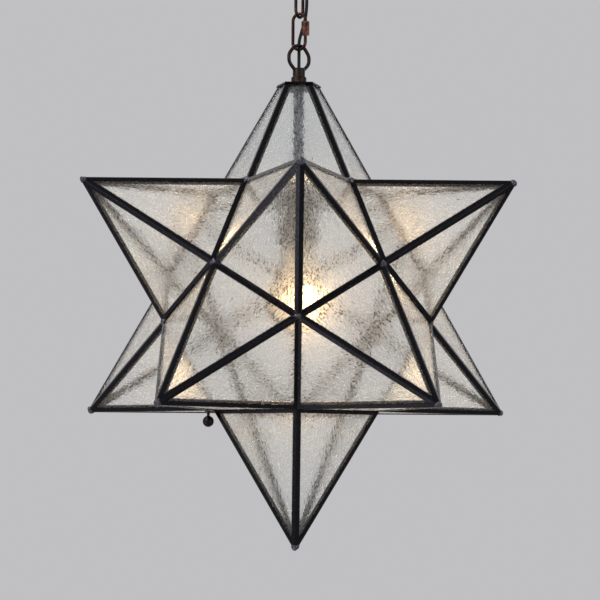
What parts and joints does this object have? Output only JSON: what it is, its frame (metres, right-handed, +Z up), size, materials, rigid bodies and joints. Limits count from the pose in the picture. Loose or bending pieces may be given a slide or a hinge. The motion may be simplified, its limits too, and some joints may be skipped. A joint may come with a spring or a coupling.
{
  "type": "moravian star pendant",
  "caption": "Pendant lantern shaped as a many-pointed star of clear seeded glass in dark folded cames, with a hinged bottom point for the lamp, hung on a chain from a ceiling canopy.",
  "frame": {"origin": "centre of the crossbar's two screw holes, in the plane of the ceiling", "axes": "+Z up into the ceiling, -Y toward the viewer of the picture, +X to the viewer's right; the star hangs below, along -Z"},
  "size_m": [0.4098, 0.4304, 0.676],
  "materials": {
    "seeded_glass": "clear rolled glass with seeds and streaks",
    "patina_came": "near-black patina, satin",
    "solder": "near-black patina over solder, lumpy",
    "bronze_loop": "dark oil-rubbed bronze, satin",
    "chain_bronze": "dark bronze with brown rubbed spots",
    "canopy_bronze": "dark bronze, satin",
    "zinc_steel": "zinc-plated steel",
    "ground_green": "green-coated screw",
    "socket_brass": "dark bronze",
    "socket_black": "moulded",
    "screw_shell": "bright",
    "lamp_glass": "frosted, lit warm white",
    "cord_black": "smooth sheath"
  },
  "bodies": {
    "canopy": {"canopy": "canopy_bronze", "canopy_nut": "bronze_loop", "canopy_pipe": "zinc_steel", "crossbar": "zinc_steel", "crossbar_locknut": "zinc_steel", "ground_screw": "ground_green", "canopy_loop": "bronze_loop", "cord_span_1": "cord_black"},
    "link_1": {"chain_link_1": "chain_bronze", "cord_span_2": "cord_black"},
    "link_2": {"chain_link_2": "chain_bronze", "cord_span_3": "cord_black"},
    "link_3": {"chain_link_3": "chain_bronze", "cord_span_4": "cord_black"},
    "link_4": {"chain_link_4": "chain_bronze"},
    "star": {"upper_point_1_glass": "seeded_glass", "upper_point_2_glass": "seeded_glass", "upper_point_3_glass": "seeded_glass", "upper_point_4_glass": "seeded_glass", "upper_point_5_glass": "seeded_glass", "lower_point_1_glass": "seeded_glass", "lower_point_2_glass": "seeded_glass", "lower_point_3_glass": "seeded_glass", "lower_point_4_glass": "seeded_glass", "lower_point_5_glass": "seeded_glass", "top_point_glass": "seeded_glass", "upper_point_1_cames": "patina_came", "upper_point_2_cames": "patina_came", "upper_point_3_cames": "patina_came", "upper_point_4_cames": "patina_came", "upper_point_5_cames": "patina_came", "lower_point_1_cames": "patina_came", "lower_point_2_cames": "patina_came", "lower_point_3_cames": "patina_came", "lower_point_4_cames": "patina_came", "lower_point_5_cames": "patina_came", "top_point_cames": "patina_came", "valley_cames_upper": "patina_came", "valley_cames_middle": "patina_came", "valley_cames_lower": "patina_came", "opening_rim": "patina_came", "tip_beads": "solder", "top_cap": "patina_came", "star_loop": "bronze_loop", "stem_pipe": "patina_came", "cap_locknut": "patina_came", "socket_cap": "socket_brass", "socket_shell": "socket_black", "socket_screw_shell": "screw_shell", "lamp_base": "screw_shell", "lamp_globe": "lamp_glass", "hinge_leaf_star": "patina_came", "hinge_pin": "patina_came", "cord_span_5": "cord_black"},
    "door": {"door_glass": "seeded_glass", "door_cames": "patina_came", "door_rim": "patina_came", "door_tip_bead": "solder", "hinge_leaf_door": "patina_came", "door_knob": "bronze_loop"}
  },
  "joints": [
    {"name": "link_1_swing", "type": "hinge", "parent": "canopy", "child": "link_1", "pos_m": [0, 0, -0.0687], "axis": [0.866, -0.5, 0], "range_deg": [-30, 30], "deforming": ["cord_span_1"]},
    {"name": "link_2_swing", "type": "hinge", "parent": "link_1", "child": "link_2", "pos_m": [0, 0, -0.1], "axis": [-0.5, -0.866, 0], "range_deg": [-30, 30], "deforming": ["cord_span_2"]},
    {"name": "link_3_swing", "type": "hinge", "parent": "link_2", "child": "link_3", "pos_m": [0, 0, -0.1315], "axis": [-0.866, 0.5, 0], "range_deg": [-30, 30], "deforming": ["cord_span_3"]},
    {"name": "link_4_swing", "type": "hinge", "parent": "link_3", "child": "link_4", "pos_m": [0, 0, -0.163], "axis": [0.5, 0.866, 0], "range_deg": [-30, 30], "deforming": ["cord_span_4"]},
    {"name": "star_swing", "type": "hinge", "parent": "link_4", "child": "star", "pos_m": [0, 0, -0.1945], "axis": [0.866, -0.5, 0], "range_deg": [-30, 30], "deforming": ["cord_span_5"]},
    {"name": "door_hinge", "type": "hinge", "parent": "star", "child": "door", "pos_m": [0.06492, 0.02109, -0.54634], "axis": [0.309, -0.9511, 0], "range_deg": [0, 105]}
  ]
}
